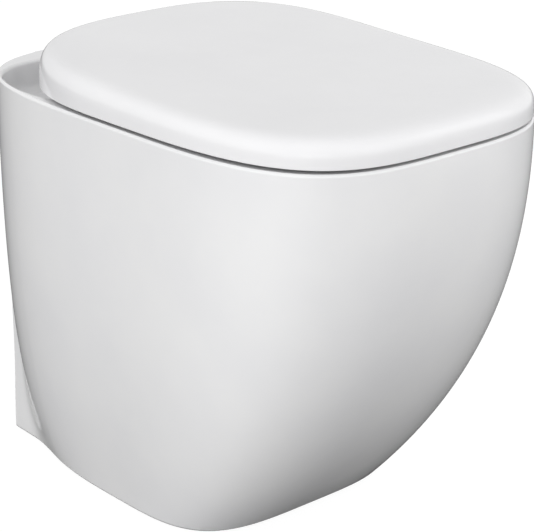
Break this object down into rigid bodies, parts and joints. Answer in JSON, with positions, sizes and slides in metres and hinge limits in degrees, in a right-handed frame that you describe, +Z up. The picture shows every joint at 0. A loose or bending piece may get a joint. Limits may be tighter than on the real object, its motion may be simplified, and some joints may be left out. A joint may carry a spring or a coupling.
{
  "type": "back to wall toilet",
  "caption": "Floor-standing back to wall toilet with an egg-shaped glazed pan, hidden fixings and a thick wrap-over soft-close lid and seat.",
  "frame": {"origin": "on the floor, under the middle of the space between the wall face and the front of the pan", "axes": "+Z up, +Y towards the wall, -Y to the front, x = 0 is the plane that splits the pan left and right"},
  "size_m": [0.36, 0.525, 0.4577],
  "materials": {
    "glazed_china": "glossy white glaze",
    "white_plastic": "glossy white",
    "grey_rubber": "matt",
    "steel": "satin",
    "zinc_plated_steel": "zinc plated",
    "chromed_steel": "polished",
    "brass": "turned",
    "natural_nylon": "matt"
  },
  "bodies": {
    "pan": {"pan": "glazed_china", "inlet_seal": "grey_rubber", "floor_brackets": "zinc_plated_steel", "bracket_pins": "zinc_plated_steel", "bracket_nuts": "zinc_plated_steel", "bracket_bushes": "natural_nylon", "hinge_studs": "steel", "hinge_discs": "chromed_steel", "hinge_gaskets": "grey_rubber", "hinge_sleeves": "grey_rubber", "hinge_nuts": "brass"},
    "carriers": {"hinge_carrier_left": "white_plastic", "hinge_carrier_right": "white_plastic", "latch_clips": "steel", "seat_damper_shaft": "steel", "lid_damper_shaft": "steel"},
    "seat": {"seat_ring": "white_plastic", "seat_buffers": "grey_rubber", "seat_damper": "natural_nylon"},
    "lid": {"lid": "white_plastic", "lid_buffers": "grey_rubber", "lid_damper": "natural_nylon"},
    "button_left": {"release_button_left": "chromed_steel"},
    "button_right": {"release_button_right": "chromed_steel"}
  },
  "joints": [
    {"name": "lift_off", "type": "slide", "parent": "pan", "child": "carriers", "axis": [0, 0, 1], "range_m": [0, 0.04], "deforming": ["latch_clips"]},
    {"name": "seat_hinge", "type": "hinge", "parent": "carriers", "child": "seat", "pos_m": [0, 0.1705, 0.422], "axis": [-1, 0, 0], "range_deg": [0, 95]},
    {"name": "lid_hinge", "type": "hinge", "parent": "seat", "child": "lid", "pos_m": [0, 0.1705, 0.422], "axis": [1, 0, 0], "range_deg": [-95, 0]},
    {"name": "release_left", "type": "slide", "parent": "carriers", "child": "button_left", "axis": [0, 1, 0], "range_m": [0, 0.0025], "stiffness_N_per_m": 400},
    {"name": "release_right", "type": "slide", "parent": "carriers", "child": "button_right", "axis": [0, 1, 0], "range_m": [0, 0.0025], "stiffness_N_per_m": 400}
  ]
}
